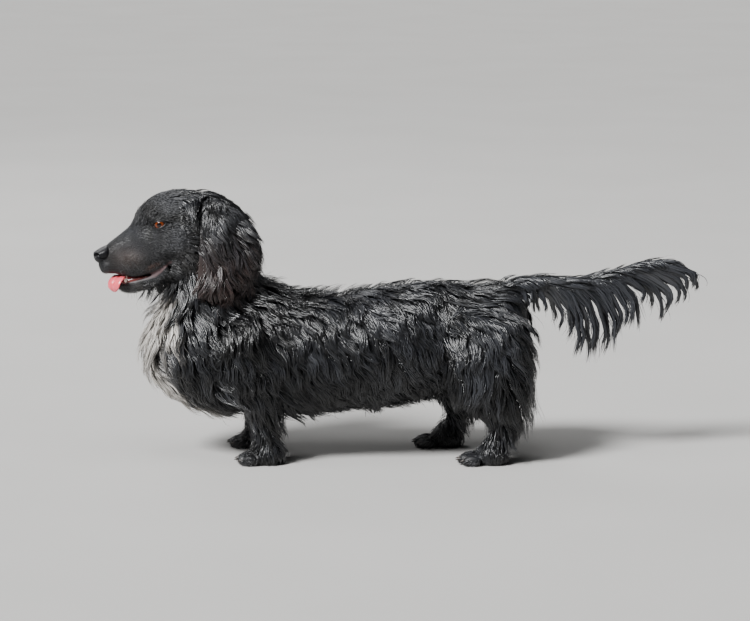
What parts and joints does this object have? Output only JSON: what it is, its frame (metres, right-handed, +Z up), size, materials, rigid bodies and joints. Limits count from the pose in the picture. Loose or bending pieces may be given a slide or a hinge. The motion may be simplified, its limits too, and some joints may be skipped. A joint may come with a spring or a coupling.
{
  "type": "dog",
  "caption": "Long, low, drop-eared black dog with a silky coat, standing on all fours, head raised and mouth a little open, feathered tail carried level.",
  "frame": {"origin": "on the floor, under the middle of the dog's bounding box, at the level of the soles of its paws", "axes": "+Y from the nose towards the tip of the tail, +X to the dog's left side, +Z up"},
  "size_m": [0.1796, 0.8482, 0.38],
  "materials": {
    "black_coat": "satin",
    "ear_coat": "satin",
    "jaw_coat_and_lip": "satin",
    "nose_leather": "satin",
    "eye": "gloss",
    "tongue": "wet",
    "claw_horn": "satin"
  },
  "bodies": {
    "root": {"head": "black_coat", "jaw": "jaw_coat_and_lip", "nose": "nose_leather", "tongue": "tongue", "eye_left": "eye", "eye_right": "eye", "ear_left": "ear_coat", "ear_right": "ear_coat", "trunk": "black_coat", "neck": "black_coat", "tail": "black_coat", "foreleg_left": "black_coat", "forepaw_left": "black_coat", "claw_fore_left_1": "claw_horn", "claw_fore_left_2": "claw_horn", "claw_fore_left_3": "claw_horn", "claw_fore_left_4": "claw_horn", "foreleg_right": "black_coat", "forepaw_right": "black_coat", "claw_fore_right_1": "claw_horn", "claw_fore_right_2": "claw_horn", "claw_fore_right_3": "claw_horn", "claw_fore_right_4": "claw_horn", "hindleg_left": "black_coat", "hindpaw_left": "black_coat", "claw_hind_left_1": "claw_horn", "claw_hind_left_2": "claw_horn", "claw_hind_left_3": "claw_horn", "claw_hind_left_4": "claw_horn", "hindleg_right": "black_coat", "hindpaw_right": "black_coat", "claw_hind_right_1": "claw_horn", "claw_hind_right_2": "claw_horn", "claw_hind_right_3": "claw_horn", "claw_hind_right_4": "claw_horn"}
  },
  "joints": []
}
